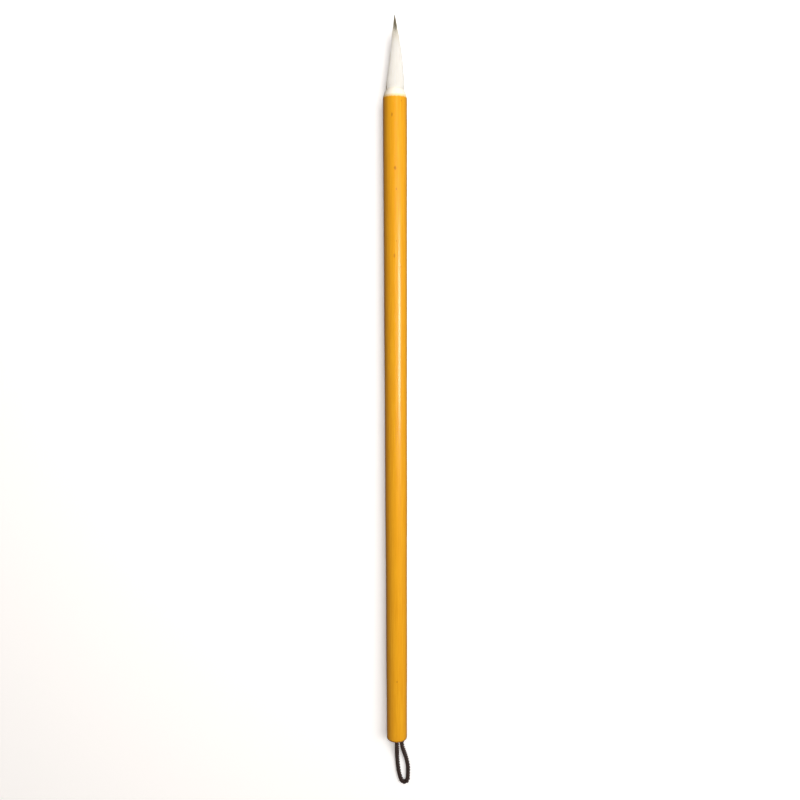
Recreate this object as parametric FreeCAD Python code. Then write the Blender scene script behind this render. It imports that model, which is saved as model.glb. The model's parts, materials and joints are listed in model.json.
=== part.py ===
import FreeCAD, Part

import math
import os

from FreeCAD import Vector

# A small calligraphy brush that lies on a table: a bamboo handle, a pointed tuft of hair glued
# into a socket at its head, and a thin cord loop that comes out of its tail end.
# Millimetres. +Y runs along the handle towards the tip of the hair, and +Z is up.
# The origin is on the table, under the middle of the handle and its tuft.

# ---------------------------------------------------------------- driving dimensions

handle_length = 180.0
tuft_length = 21.6  # hair outside the socket
head_radius = 3.35
tail_radius = 2.80

tip_y = (handle_length + tuft_length) / 2.0
mouth_y = tip_y - tuft_length
tail_y = mouth_y - handle_length
axis_height = head_radius  # the widest part of the handle rests on the table

# The handle's outside: a straight land at each end, and between them the cane narrows unevenly.
# Each entry is a distance from the tail end and the cane's radius there.
cane_swell = [(20.0, 2.90), (44.0, 2.93), (66.0, 3.05), (92.0, 3.08), (117.0, 3.20), (142.0, 3.24)]
tail_land = 8.0
cap_land_start = 165.0
tail_edge = 0.30  # rounding of the tail's rim
shoulder_length = 2.50  # the rounded shoulder in front of the cap land
shoulder_drop = 0.84

# Hollows in the cane
socket_radius = 2.30
socket_depth = 12.4
lumen_radius = 1.10
tail_bore_radius = 1.95
tail_bore_depth = 10.0

# The bound root of the tuft, in the socket
root_radius = 2.10
root_depth = 11.4
root_edge = 0.25
seal_thickness = 0.60
seal_radius = 1.95
thread_turns = 5
thread_radius = 0.16
thread_start = 1.1  # from the root's lower end
waist_radius = 1.93
glue_start = 0.6
glue_stop_short = 0.6

# Where the tuft bends: a round neck on the root, inside a cup in the free hair
bend_above_mouth = 0.90
neck_radius = 2.00
cup_radius = 2.10
rim_above_bend = 1.00

# The free hair: three layers with one outline, a power curve of the distance from the tip
tuft_base_radius = 2.62
tuft_fullness = 0.78
core_base_radius = 1.00
core_widens_at = 8.0  # distances from the tip
lining_ends_at = 6.0
cover_ends_at = 4.2
hair_stations = [17.0, 14.5, 12.0, 10.0]
tip_stations = [3.0, 1.8, 0.8]

# The cord
cord_radius = 0.625
cord_pivot_gap = 0.75  # from the tail end to the line where the loop turns
leg_x = [0.0, 1.28]  # the two legs leave the tail side by side
leg_depth = 7.2
knot_length = 2.4
knot_radius = 1.85
knot_edge = 0.70
peg_side = -0.66  # the peg fills the bore on this side of the legs
peg_depth = 6.6
glue_recess = 0.30
glue_depth = 6.2
smoothing = 0.45

# The loop's route: across, out from the tail end, and height over the table.
# The tail is thinner than the head, so the table is 0.58 mm further from the axis there.
table_height = 1.24  # the centre of a cord that lies on the table
loop_route = [
    (0.00, 0.75, axis_height),
    (0.00, 2.40, 3.15),
    (0.00, 4.10, 2.50),
    (0.02, 5.90, 1.70),
    (0.12, 7.60, 1.28),
    (0.26, 9.20, table_height),
    (0.48, 10.75, table_height),
    (0.85, 12.25, table_height),
    (1.22, 13.68, table_height),
    (2.14, 14.12, table_height),
    (3.02, 13.60, table_height),
    (3.06, 12.10, table_height),
    (3.12, 10.50, table_height),
    (3.06, 8.90, 1.25),
    (2.74, 7.30, 1.36),
    (2.32, 5.75, 1.78),
    (1.86, 4.15, 2.50),
    (1.45, 2.45, 3.15),
    (1.28, 0.75, axis_height),
]

bend_y = mouth_y + bend_above_mouth
rim_y = bend_y + rim_above_bend
root_y = mouth_y - root_depth
brush_axis = Vector(0, 1, 0)


# ---------------------------------------------------------------- helpers


def at(radius, station):
    """A point of a profile: its distance from the brush's axis, and its place along it."""
    return Vector(radius, station, 0)


def line(start, end):
    return Part.LineSegment(start, end).toShape()


def arc(start, middle, end):
    return Part.Arc(start, middle, end).toShape()


def path(points):
    """Straight edges through a list of points."""
    return [line(a, b) for a, b in zip(points, points[1:])]


def turned(edges):
    """The solid that a closed profile sweeps round the brush's axis."""
    face = Part.Face(Part.Wire(Part.sortEdges(edges)[0]))
    solid = face.revolve(Vector(0, 0, 0), brush_axis, 360)
    solid.translate(Vector(0, 0, axis_height))
    return solid


def rod(radius, start_y, end_y, x=0.0):
    """A plain cylinder along the brush, at the height of its axis."""
    return Part.makeCylinder(radius, end_y - start_y, Vector(x, start_y, axis_height), brush_axis)


def on_sphere(radius, distance_from_axis):
    """A profile point on a sphere round the place where the tuft bends."""
    return at(distance_from_axis, bend_y + math.sqrt(radius**2 - distance_from_axis**2))


def ball_arc(radius, start, end):
    """The arc of that sphere between two of its profile points."""
    centre = at(0, bend_y)
    middle = (start - centre) + (end - centre)
    middle.normalize()
    return arc(start, centre + middle * radius, end)


def write(name, shape):
    solids = shape.Solids
    whole = solids[0] if len(solids) == 1 else Part.makeCompound(solids)
    whole.exportStep(f"parts/{name}.step")
    print(f"{name}: {len(solids)} solid(s), {whole.Volume:.2f} mm3, valid {whole.isValid()}")


# ---------------------------------------------------------------- handle


def bamboo_handle():
    """A turned length of cane with a socket at the head, a thin lumen and a bore at the tail."""
    socket_floor = mouth_y - socket_depth
    bore_floor = tail_y + tail_bore_depth
    cap_y = tail_y + cap_land_start
    shoulder_y = mouth_y - shoulder_length
    curve_radius = (shoulder_length**2 + shoulder_drop**2) / (2 * shoulder_drop)
    half_drop = curve_radius - math.sqrt(curve_radius**2 - (shoulder_length / 2) ** 2)
    edge_slack = tail_edge * (1 - math.sqrt(0.5))

    stations = [at(tail_radius, tail_y + tail_land)]
    stations += [at(radius, tail_y + distance) for distance, radius in cane_swell]
    stations += [at(head_radius, cap_y)]
    cane = Part.BSplineCurve()
    cane.interpolate(Points=stations, InitialTangent=brush_axis, FinalTangent=brush_axis)

    rim_radius = head_radius - shoulder_drop
    edges = [
        line(at(tail_bore_radius, tail_y), at(tail_radius - tail_edge, tail_y)),
        arc(
            at(tail_radius - tail_edge, tail_y),
            at(tail_radius - edge_slack, tail_y + edge_slack),
            at(tail_radius, tail_y + tail_edge),
        ),
        line(at(tail_radius, tail_y + tail_edge), stations[0]),
        cane.toShape(),
        line(stations[-1], at(head_radius, shoulder_y)),
        arc(
            at(head_radius, shoulder_y),
            at(head_radius - half_drop, shoulder_y + shoulder_length / 2),
            at(rim_radius, mouth_y),
        ),
    ]
    edges += path(
        [
            at(rim_radius, mouth_y),
            at(socket_radius, mouth_y),
            at(socket_radius, socket_floor),
            at(lumen_radius, socket_floor),
            at(lumen_radius, bore_floor),
            at(tail_bore_radius, bore_floor),
            at(tail_bore_radius, tail_y),
        ]
    )
    return turned(edges)


# ---------------------------------------------------------------- root of the tuft


def thread_band():
    """Where the binding starts and ends along the root."""
    start = root_y + thread_start
    return start, start + 2 * thread_radius * thread_turns


def root_bundle():
    """The bound root: a rod of hair, waisted under its thread, with the round neck on top."""
    band_start, band_end = thread_band()
    neck_foot = math.sqrt(neck_radius**2 - bend_above_mouth**2)
    edges = path(
        [
            at(0, bend_y + neck_radius),
            at(0, root_y),
            at(root_radius - root_edge, root_y),
            at(root_radius, root_y + root_edge),
            at(root_radius, band_start),
            at(waist_radius, band_start),
            at(waist_radius, band_end),
            at(root_radius, band_end),
            at(root_radius, mouth_y),
            at(neck_foot, mouth_y),
        ]
    )
    edges.append(arc(at(neck_foot, mouth_y), at(neck_radius, bend_y), at(0, bend_y + neck_radius)))
    return turned(edges)


def root_thread():
    """The binding: close turns of thread, taken together as one ring with a rounded rib a turn."""
    band_start, band_end = thread_band()
    edges = path([at(waist_radius, band_end), at(waist_radius, band_start)])
    rib = root_radius - waist_radius
    for turn in range(thread_turns):
        foot = band_start + 2 * thread_radius * turn
        edges.append(
            arc(
                at(waist_radius, foot),
                at(waist_radius + rib, foot + thread_radius),
                at(waist_radius, foot + 2 * thread_radius),
            )
        )
    return turned(edges)


def root_seal():
    """A disc of melted rosin that locks the lower ends of the hair."""
    bottom = root_y - seal_thickness
    edges = path([at(seal_radius - root_edge, root_y), at(0, root_y), at(0, bottom)])
    edges += path([at(0, bottom), at(seal_radius - root_edge, bottom)])
    edges.append(
        arc(
            at(seal_radius - root_edge, bottom),
            at(seal_radius, bottom + seal_thickness / 2),
            at(seal_radius - root_edge, root_y),
        )
    )
    return turned(edges)


def socket_glue():
    """The thin sleeve of glue between the root and the socket's wall."""
    start = root_y + glue_start
    end = mouth_y - glue_stop_short
    return rod(socket_radius, start, end).cut(rod(root_radius, start, end))


# ---------------------------------------------------------------- free hair


def tuft_radius(from_tip):
    return tuft_base_radius * (from_tip / tuft_length) ** tuft_fullness


def hair_point(from_tip, share=1.0):
    return at(share * tuft_radius(from_tip), tip_y - from_tip)


def hair_layers():
    """The core, the lining round it and the cover hair, as three solids that meet face to face."""
    rim_from_tip = tip_y - rim_y
    rim = on_sphere(cup_radius, math.sqrt(cup_radius**2 - rim_above_bend**2))
    lining_share = rim.x / tuft_radius(rim_from_tip)
    core_foot = on_sphere(cup_radius, core_base_radius)
    core_share = core_base_radius / tuft_radius(tip_y - core_foot.y)

    outside = [hair_point(s) for s in [rim_from_tip] + hair_stations]
    outside += [hair_point(s) for s in (core_widens_at, lining_ends_at, cover_ends_at)]
    inner_stations = hair_stations + [core_widens_at]
    lining_side = [rim] + [hair_point(s, lining_share) for s in inner_stations + [lining_ends_at]]
    core_side = [core_foot] + [hair_point(s, core_share) for s in inner_stations]
    core_side.append(lining_side[-1])
    cover_side = lining_side + [outside[-1]]
    cup_top = at(0, bend_y + cup_radius)
    tip = at(0, tip_y)

    point = [hair_point(s) for s in tip_stations] + [tip]
    core = path(core_side + [outside[-1]] + point + [cup_top])
    core.append(ball_arc(cup_radius, cup_top, core_foot))
    lining = path(lining_side)
    lining += path(core_side)
    lining.append(ball_arc(cup_radius, core_foot, rim))
    cover = path(outside)
    cover += path(cover_side)
    cover.append(line(rim, outside[0]))
    return turned(core), turned(lining), turned(cover)


# ---------------------------------------------------------------- cord


def rounded_route(points):
    """Straight runs joined by tangent arcs, with the radius of each arc."""
    edges = []
    radii = []
    start = points[0]
    for before, corner, after in zip(points, points[1:], points[2:]):
        back = (before - corner).normalize()
        ahead = (after - corner).normalize()
        half_turn = (math.pi - back.getAngle(ahead)) / 2
        cut = smoothing * min((before - corner).Length, (after - corner).Length)
        radius = cut / math.tan(half_turn)
        inwards = (back + ahead).normalize()
        middle = corner + inwards * (radius / math.cos(half_turn) - radius)
        edges.append(line(start, corner + back * cut))
        edges.append(arc(corner + back * cut, middle, corner + ahead * cut))
        start = corner + ahead * cut
        radii.append(radius)
    edges.append(line(start, points[-1]))
    return edges, radii


def rounded_end(point, outwards):
    """Half a ball on the end of the cord, with its flat side on the tube."""
    ball = Part.makeSphere(cord_radius, point)
    box_side = 4 * cord_radius
    box = Part.makeBox(box_side, box_side, box_side)
    box.translate(Vector(-box_side / 2, -box_side / 2, 0))
    turn = FreeCAD.Rotation(Vector(0, 0, 1), outwards)
    box.Placement = FreeCAD.Placement(point, turn).multiply(box.Placement)
    return ball.common(box)


def hanging_loop():
    """The cord outside the handle: out of the tail, down to the table, and back."""
    points = [Vector(x, tail_y - out, height) for x, out, height in loop_route]
    edges, radii = rounded_route(points)
    route = Part.Wire(edges)
    ring = Part.Circle(points[0], points[1] - points[0], cord_radius).toShape()
    tube = route.makePipeShell([Part.Wire(ring)], True, False)
    print(f"cord loop: {route.Length:.2f} mm, arc radii {[round(r, 2) for r in radii]}")
    expected = math.pi * cord_radius**2 * route.Length
    print(f"cord loop: tube {tube.Volume:.3f} mm3, section times length {expected:.3f} mm3")
    first = rounded_end(points[0], points[0] - points[1])
    last = rounded_end(points[-1], points[-1] - points[-2])
    return tube.fuse([first, last])


def loop_tails():
    """The two legs inside the tail bore."""
    return Part.makeCompound([rod(cord_radius, tail_y, tail_y + leg_depth, x) for x in leg_x])


def loop_knot():
    """The knot that ties the ends, wider than the lumen behind it."""
    start = tail_y + leg_depth
    end = start + knot_length
    slack = knot_edge * (1 - math.sqrt(0.5))
    edges = path([at(0, end), at(0, start), at(knot_radius, start)])
    edges += path([at(knot_radius, start), at(knot_radius, end - knot_edge)])
    edges.append(
        arc(
            at(knot_radius, end - knot_edge),
            at(knot_radius - slack, end - slack),
            at(knot_radius - knot_edge, end),
        )
    )
    edges += path([at(knot_radius - knot_edge, end), at(0, end)])
    return turned(edges)


def beside_legs(shape):
    """The part of a shape on the peg's side of the legs."""
    reach = 2 * tail_bore_radius
    corner = Vector(peg_side - reach, tail_y - 1, axis_height - reach)
    return shape.common(Part.makeBox(reach, tail_bore_depth + 2, 2 * reach, corner))


def tail_peg():
    """A split peg of cane, driven in beside the legs and trimmed flush."""
    return beside_legs(rod(tail_bore_radius, tail_y, tail_y + peg_depth))


def tail_glue(peg, tails):
    """Glue that fills the bore round the legs, a little below the rim."""
    fill = rod(tail_bore_radius, tail_y + glue_recess, tail_y + glue_depth)
    return fill.cut([peg] + tails.Solids)


# ---------------------------------------------------------------- parts

os.makedirs("parts", exist_ok=True)

core_hair, lining_hair, cover_hair = hair_layers()
the_peg = tail_peg()
the_tails = loop_tails()

write("bamboo_handle", bamboo_handle())
write("root_bundle", root_bundle())
write("root_thread", root_thread())
write("root_seal", root_seal())
write("socket_glue", socket_glue())
write("core_hair", core_hair)
write("lining_hair", lining_hair)
write("cover_hair", cover_hair)
write("hanging_loop", hanging_loop())
write("loop_tails", the_tails)
write("loop_knot", loop_knot())
write("tail_peg", the_peg)
write("tail_glue", tail_glue(the_peg, the_tails))
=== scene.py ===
import json
import math

import bpy
import numpy as np
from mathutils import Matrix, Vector


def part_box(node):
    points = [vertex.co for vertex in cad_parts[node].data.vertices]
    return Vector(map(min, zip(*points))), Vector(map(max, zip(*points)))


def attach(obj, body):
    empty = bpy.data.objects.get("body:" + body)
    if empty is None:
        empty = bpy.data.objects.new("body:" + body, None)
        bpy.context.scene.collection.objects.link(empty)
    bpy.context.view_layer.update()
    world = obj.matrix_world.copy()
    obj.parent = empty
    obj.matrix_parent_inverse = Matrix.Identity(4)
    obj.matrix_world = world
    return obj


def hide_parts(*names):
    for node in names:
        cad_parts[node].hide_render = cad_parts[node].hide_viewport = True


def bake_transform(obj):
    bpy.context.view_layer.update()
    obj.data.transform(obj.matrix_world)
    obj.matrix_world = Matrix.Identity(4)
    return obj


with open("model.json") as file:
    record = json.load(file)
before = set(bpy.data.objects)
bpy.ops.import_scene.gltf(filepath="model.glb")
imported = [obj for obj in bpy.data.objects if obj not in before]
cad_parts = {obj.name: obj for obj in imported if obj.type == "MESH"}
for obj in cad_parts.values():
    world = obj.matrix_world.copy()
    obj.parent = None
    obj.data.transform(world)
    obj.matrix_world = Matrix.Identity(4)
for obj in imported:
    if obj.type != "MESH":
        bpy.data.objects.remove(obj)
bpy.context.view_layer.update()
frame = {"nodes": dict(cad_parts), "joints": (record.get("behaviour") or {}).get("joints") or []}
MM = 0.001

# %% [markdown]
# ## Where things are
# Positions come from the model's boxes and joints. The cane lies along Y with its axis a
# little over 3 mm above the table; the tuft bends on one joint and the loop on the other.
# %% Read the places that later cells need
joint_places = {joint["name"]: Vector(joint["pos_m"]) for joint in frame["joints"]}
tail_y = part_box("bamboo_handle")[0].y
mouth_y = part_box("bamboo_handle")[1].y
tip_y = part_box("core_hair")[1].y
axis_z = joint_places["tuft_bend"].z
root_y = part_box("root_bundle")[0].y
tuft_length = tip_y - mouth_y
print(f"cane {1000 * (mouth_y - tail_y):.1f} mm, free hair {1000 * tuft_length:.1f} mm")

# %% [markdown]
# ## Camera
# The brush is looked at from straight above, from close by, so that the nearer parts are a
# little larger than the farther ones. A lens of about 26 mm on a 36 mm sensor gives that view.
# %% Make the camera
SENSOR_WIDTH, LENS, NEAREST = 36.0, 26.33, 5 * MM
EYE, ROLL = (1.14 * MM, -6.82 * MM, 166.35 * MM), math.radians(-0.181)
camera_data = bpy.data.cameras.new("camera")
camera_data.sensor_width = SENSOR_WIDTH
camera_data.lens = LENS
camera_data.clip_start = NEAREST
camera = bpy.data.objects.new("camera", camera_data)
camera.location = EYE
camera.rotation_euler = (0, 0, ROLL)
bpy.context.scene.collection.objects.link(camera)
bpy.context.scene.camera = camera
print("camera", tuple(round(c, 4) for c in camera.location))

# %% [markdown]
# ## Small helpers
# A node tree is easier to read when each node takes one line. `Graph.add` makes a node and
# fills its inputs: a plain value is typed into the socket, and the output of another node is
# linked to it. The same helper serves Geometry Nodes and materials.
# %% Helpers for node trees
class Graph:
    def __init__(self, tree):
        self.tree = tree

    def add(self, kind, inputs=(), **settings):
        made = self.tree.nodes.new(kind)
        for name, value in settings.items():
            setattr(made, name, value)
        for name, value in dict(inputs).items():
            if isinstance(value, bpy.types.NodeSocket):
                self.tree.links.new(value, made.inputs[name])
            else:
                made.inputs[name].default_value = value
        return made

    def link(self, output, node, socket):
        self.tree.links.new(output, node.inputs[socket])

    def math(self, operation, *values):
        return self.add("ShaderNodeMath", enumerate(values), operation=operation).outputs[0]

    def plus(self, first, *others):
        for other in others:
            first = self.math("ADD", first, other)
        return first

    def times(self, first, *others):
        for other in others:
            first = self.math("MULTIPLY", first, other)
        return first

    def minus(self, first, second):
        return self.math("SUBTRACT", first, second)

    def step(self, value, low, high, start=0.0, end=1.0):
        """Goes smoothly from start to end while value goes from low to high."""
        inputs = {"Value": value, "From Min": low, "From Max": high, "To Min": start, "To Max": end}
        return self.add("ShaderNodeMapRange", inputs, interpolation_type="SMOOTHSTEP").outputs[0]

    def mix(self, share, first, second):
        """A colour between two: the first at a share of 0, the second at 1."""
        inputs = {0: share, 6: first, 7: second}
        return self.add("ShaderNodeMix", inputs, data_type="RGBA").outputs[2]

    def split(self, vector):
        return self.add("ShaderNodeSeparateXYZ", {0: vector}).outputs

    def join(self, x, y, z):
        return self.add("ShaderNodeCombineXYZ", {0: x, 1: y, 2: z}).outputs[0]

    def length(self, vector):
        measure = self.add("ShaderNodeVectorMath", {0: vector}, operation="LENGTH")
        return measure.outputs["Value"]

    def move(self, geometry, position):
        inputs = {"Geometry": geometry, "Position": position}
        return self.add("GeometryNodeSetPosition", inputs).outputs[0]


def rgb(red, green, blue):
    """A screen colour, 0 to 255, as the linear colour that a shader works with."""
    values = [red / 255, green / 255, blue / 255]
    linear = [v / 12.92 if v <= 0.04045 else ((v + 0.055) / 1.055) ** 2.4 for v in values]
    return (*linear, 1.0)


print("a mid grey is", round(rgb(128, 128, 128)[0], 3), "in linear light")

# %% Helpers for objects and finishes
def show(name, mesh, material=None):
    """A new object at the origin, with its place in its mesh."""
    piece = bpy.data.objects.new(name, mesh)
    bpy.context.scene.collection.objects.link(piece)
    if material is not None:
        mesh.materials.clear()
        mesh.materials.append(material)
    return piece


def corners_of(mesh):
    return np.array([vertex.co[:] for vertex in mesh.vertices])


def move_corners(mesh, corners):
    mesh.vertices.foreach_set("co", corners.astype(np.float32).ravel())
    mesh.update()


def finish_named(name, **constants):
    """A material, a graph for its pattern, and its shader, which the constants are set on."""
    material = bpy.data.materials.new(name)
    material.use_nodes = True
    shader = material.node_tree.nodes["Principled BSDF"]
    for socket, value in constants.items():
        shader.inputs[socket.replace("_", " ")].default_value = value
    return material, Graph(material.node_tree), shader


def in_millimetres(graph, centre=(0.0, 0.0, 0.0), stretch=(1.0, 1.0, 1.0)):
    """Object coordinates in millimetres from a centre, stretched along each axis."""
    coordinates = graph.add("ShaderNodeTexCoord").outputs["Object"]
    scale = [1000.0 * s for s in stretch]
    place = [-1000.0 * c * s for c, s in zip(centre, stretch)]
    inputs = {"Vector": coordinates, "Location": place, "Scale": scale}
    return graph.add("ShaderNodeMapping", inputs).outputs[0]


def noise(graph, vector, scale=1.0, detail=3.0, roughness=0.5):
    inputs = {"Vector": vector, "Scale": scale, "Detail": detail, "Roughness": roughness}
    return graph.add("ShaderNodeTexNoise", inputs).outputs["Fac"]


def emboss(graph, shader, height, depth):
    """Raises the surface where height is 1, by depth in metres."""
    bump = graph.add("ShaderNodeBump", {"Height": height, "Distance": depth, "Strength": 1.0})
    graph.link(bump.outputs[0], shader, "Normal")


print("helpers ready")

# %% [markdown]
# ## The cord's line
# The loop is a limp twisted cord with both ends tied in a knot inside the tail. Its line
# could be a chain of straight runs with rounded corners, but that looks like bent wire. A
# NURBS curve of order 3 has no corners at all: the points only pull it, as gravity and the
# table do. The order is set after the points are there, because set before it falls back.
# %% Draw the cord's line from the knot, round the loop and back to the knot
# x, distance out from the tail, z
CORD_ROUTE = [
    (0.00000, -0.00720, 0.00335),
    (0.00000, -0.00480, 0.00335),
    (0.00000, -0.00240, 0.00335),
    (0.00000, -0.00060, 0.00335),
    (0.00000, 0.00075, 0.00335),
    (0.00000, 0.00240, 0.00315),
    (0.00000, 0.00410, 0.00250),
    (0.00002, 0.00590, 0.00170),
    (0.00012, 0.00760, 0.00128),
    (0.00026, 0.00920, 0.00124),
    (0.00048, 0.01075, 0.00124),
    (0.00085, 0.01215, 0.00124),
    (0.00124, 0.01335, 0.00124),
    (0.00214, 0.01378, 0.00124),
    (0.00298, 0.01325, 0.00124),
    (0.00306, 0.01195, 0.00124),
    (0.00312, 0.01050, 0.00124),
    (0.00306, 0.00890, 0.00125),
    (0.00274, 0.00730, 0.00136),
    (0.00232, 0.00575, 0.00178),
    (0.00186, 0.00415, 0.00250),
    (0.00145, 0.00245, 0.00315),
    (0.00128, 0.00075, 0.00335),
    (0.00128, -0.00060, 0.00335),
    (0.00128, -0.00240, 0.00335),
    (0.00128, -0.00480, 0.00335),
    (0.00128, -0.00720, 0.00335),
]


def smooth_line(points, resolution):
    """The points that a NURBS curve of order 3 passes through, read back from Blender."""
    curve = bpy.data.curves.new("line", "CURVE")
    curve.dimensions = "3D"
    curve.resolution_u = resolution
    spline = curve.splines.new("NURBS")
    spline.points.add(len(points) - 1)
    for control, place in zip(spline.points, points):
        control.co = (*place, 1.0)
    spline.order_u = 3
    spline.use_endpoint_u = True
    holder = bpy.data.objects.new("line", curve)
    bpy.context.scene.collection.objects.link(holder)
    evaluated = holder.evaluated_get(bpy.context.evaluated_depsgraph_get())
    mesh = bpy.data.meshes.new_from_object(evaluated)
    line = corners_of(mesh)
    bpy.data.objects.remove(holder)
    bpy.data.meshes.remove(mesh)
    return line


cord_line = smooth_line([(x, tail_y - out, z) for x, out, z in CORD_ROUTE], 14)

# %% [markdown]
# ## Three strands
# A twisted cord is three strands that wind round each other, and each strand is yarn that is
# twisted the other way, which is what keeps the cord from unwinding. One round tube with a
# bump pattern would have a smooth outline, so each strand is a tube of its own here: its
# centre circles the cord's line once in every lay, and its section has the three soft lobes
# of its yarns. The frame that the circle turns in is carried along the line without twist.
# %% Lay the strands of a twisted cord along a line
STRANDS, YARNS = 3, 3
STRAND_SHARE = 0.245  # a strand's radius, as a share of the cord's diameter
LOBE_DEPTH = 0.07  # how far a yarn stands out, as a share of its strand's radius


def carried_frames(line):
    """Unit vectors across a line, carried along it without twisting."""
    ahead = np.gradient(line, axis=0)
    ahead /= np.linalg.norm(ahead, axis=1)[:, None]
    side = np.zeros_like(line)
    first = np.cross(ahead[0], (0.0, 0.0, 1.0))
    side[0] = first / np.linalg.norm(first)
    for i in range(1, len(line)):
        carried = side[i - 1] - ahead[i] * (side[i - 1] @ ahead[i])
        side[i] = carried / np.linalg.norm(carried)
    return side, np.cross(ahead, side)


def twisted_cord(name, line, diameter, lay, yarn_lay, sides=14):
    """One mesh of three closed strands, with a UV map: round each strand, and along it in mm."""
    side, up = carried_frames(line)
    travelled = np.concatenate([[0.0], np.linalg.norm(np.diff(line, axis=0), axis=1).cumsum()])
    strand_radius = STRAND_SHARE * diameter
    offset = diameter / 2 - strand_radius
    rings, round_share = len(line), np.arange(sides) / sides
    vertices, faces, uvs = [], [], []
    angle = 2 * math.pi * round_share
    for strand in range(STRANDS):
        turn = -2 * math.pi * (travelled / lay + strand / STRANDS)
        across = np.cos(turn)[:, None] * side + np.sin(turn)[:, None] * up
        along_cord = np.cross(side, up)
        outward = np.cross(along_cord, across)
        centre = line + offset * across
        yarn_turn = 2 * math.pi * travelled / yarn_lay
        base = len(vertices)
        for i in range(rings):
            lobes = 1 + LOBE_DEPTH * np.cos(YARNS * (angle - yarn_turn[i]))
            section = strand_radius * lobes
            ring = centre[i] + (section * np.cos(angle))[:, None] * across[i]
            ring = ring + (section * np.sin(angle))[:, None] * outward[i]
            vertices.extend(ring.tolist())
        for i in range(rings - 1):
            for j in range(sides):
                a, b = base + i * sides + j, base + i * sides + (j + 1) % sides
                faces.append((a, a + sides, b + sides, b))
                low, high = j / sides, (j + 1) / sides
                near, far = 1000 * travelled[i], 1000 * travelled[i + 1]
                uvs.extend([(low, near), (low, far), (high, far), (high, near)])
        last = base + (rings - 1) * sides
        for cap in (range(base, base + sides), reversed(range(last, last + sides))):
            faces.append(tuple(cap))
            uvs.extend([(0.0, 0.0)] * sides)
    mesh = bpy.data.meshes.new(name)
    mesh.from_pydata(vertices, [], faces)
    layer = mesh.uv_layers.new(name="yarn")
    layer.data.foreach_set("uv", np.array(uvs, np.float32).ravel())
    mesh.shade_smooth()
    return mesh


CORD_DIAMETER = 1.25 * MM
CORD_LAY, YARN_LAY = 2.4 * MM, 1.3 * MM
cord_mesh = twisted_cord("twisted_cord", cord_line, CORD_DIAMETER, CORD_LAY, YARN_LAY)
print("cord:", len(cord_mesh.vertices), "vertices")

# %% [markdown]
# ## Dark cotton
# The cord is soft spun cotton, dyed a brown that is almost black. Up close each yarn shows
# its fibres as fine slanting lines. Each strand gets a painted highlight on its outer side and
# painted shade on its inner side, in the grooves between strands. The pattern follows the
# strand, so it uses the strand's own UV map.
# %% Dye the cord
def dyed_cotton():
    material, graph, shader = finish_named(
        "dyed_cotton",
        Roughness=0.72,
        Sheen_Weight=0.35,
        Sheen_Roughness=0.45,
        Sheen_Tint=rgb(190, 170, 165),
        Specular_IOR_Level=0.35,
    )
    yarn = graph.add("ShaderNodeUVMap", uv_map="yarn").outputs[0]
    around, along, _ = graph.split(yarn)
    fibres_round, fibres_in_a_mm = 14.0, 7.0
    slant = graph.minus(graph.times(around, fibres_round), graph.times(along, fibres_in_a_mm))
    fibre = graph.math("SINE", graph.times(slant, 2 * math.pi))
    loose = noise(graph, in_millimetres(graph), 9.0, 5.0, 0.65)
    fibre = graph.plus(graph.times(fibre, 0.25), loose)
    # painted highlight on the outer side of each strand, and painted shade on its inner side in the
    # grooves
    painted_strand_shading = graph.math("COSINE", graph.times(around, 2 * math.pi))
    fibre_and_painted_shading = graph.plus(fibre, graph.times(painted_strand_shading, 0.25))
    dark, pale_fibre_and_highlight = rgb(17, 10, 9), rgb(78, 60, 56)
    colour = graph.mix(graph.step(fibre_and_painted_shading, 0.30, 1.15), dark, pale_fibre_and_highlight)
    graph.link(colour, shader, "Base Color")
    emboss(graph, shader, fibre, 0.03 * MM)
    return material


cotton = dyed_cotton()
cord = show("twisted_cord", cord_mesh, cotton)
print("finish:", cotton.name)

# %% [markdown]
# ## The cord's place in the model
# The cord crosses the joint at the tail, between the handle and the loop. It stands for
# the two plain tubes of the model, outside the tail and inside its bore.
def knot_line(centre, width, depth):
    """An overhand knot drawn tight: a trefoil with its lobes pulled in."""
    turns = [2 * math.pi * i / 24 for i in range(24)]
    points = []
    for t in turns:
        x = (math.sin(t) + 2 * math.sin(2 * t)) / 3
        z = (math.cos(t) - 2 * math.cos(2 * t)) / 3
        y = depth * math.sin(3 * t)
        points.append((centre.x + width * x, centre.y - y, centre.z + width * z))
    return smooth_line(points, 8)


knot_low, knot_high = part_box("loop_knot")
knot_centre = (knot_low + knot_high) / 2
KNOT_WIDTH, KNOT_DEPTH, TIGHT_DIAMETER = 1.20 * MM, 0.55 * MM, 1.2 * MM
knot_mesh = twisted_cord(
    "stopper_knot",
    knot_line(knot_centre, KNOT_WIDTH, KNOT_DEPTH),
    TIGHT_DIAMETER,
    CORD_LAY,
    YARN_LAY,
    sides=10,
)
knot = show("stopper_knot", knot_mesh, cotton)
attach(knot, "handle")
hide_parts("loop_knot")

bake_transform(cord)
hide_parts("hanging_loop", "loop_tails")

# %% [markdown]
# ## Growing geometry from a tree
# Geometry Nodes make the pieces that repeat or follow a rule. A tree is run once: its
# inputs are set on a modifier by their identifiers, the evaluated result is read back as a
# plain mesh, and the helper object goes away with its modifier.
# %% Run a Geometry Nodes tree and keep its mesh
def new_tree(name, **inputs):
    """A tree with a geometry input and output, and named inputs, listed under their kind."""
    tree = bpy.data.node_groups.new(name, "GeometryNodeTree")
    tree.interface.new_socket("Geometry", in_out="INPUT", socket_type="NodeSocketGeometry")
    for kind, labels in inputs.items():
        for label in labels.split(", "):
            tree.interface.new_socket(label, in_out="INPUT", socket_type="NodeSocket" + kind)
    tree.interface.new_socket("Geometry", in_out="OUTPUT", socket_type="NodeSocketGeometry")
    graph = Graph(tree)
    return graph, graph.add("NodeGroupInput").outputs


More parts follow.
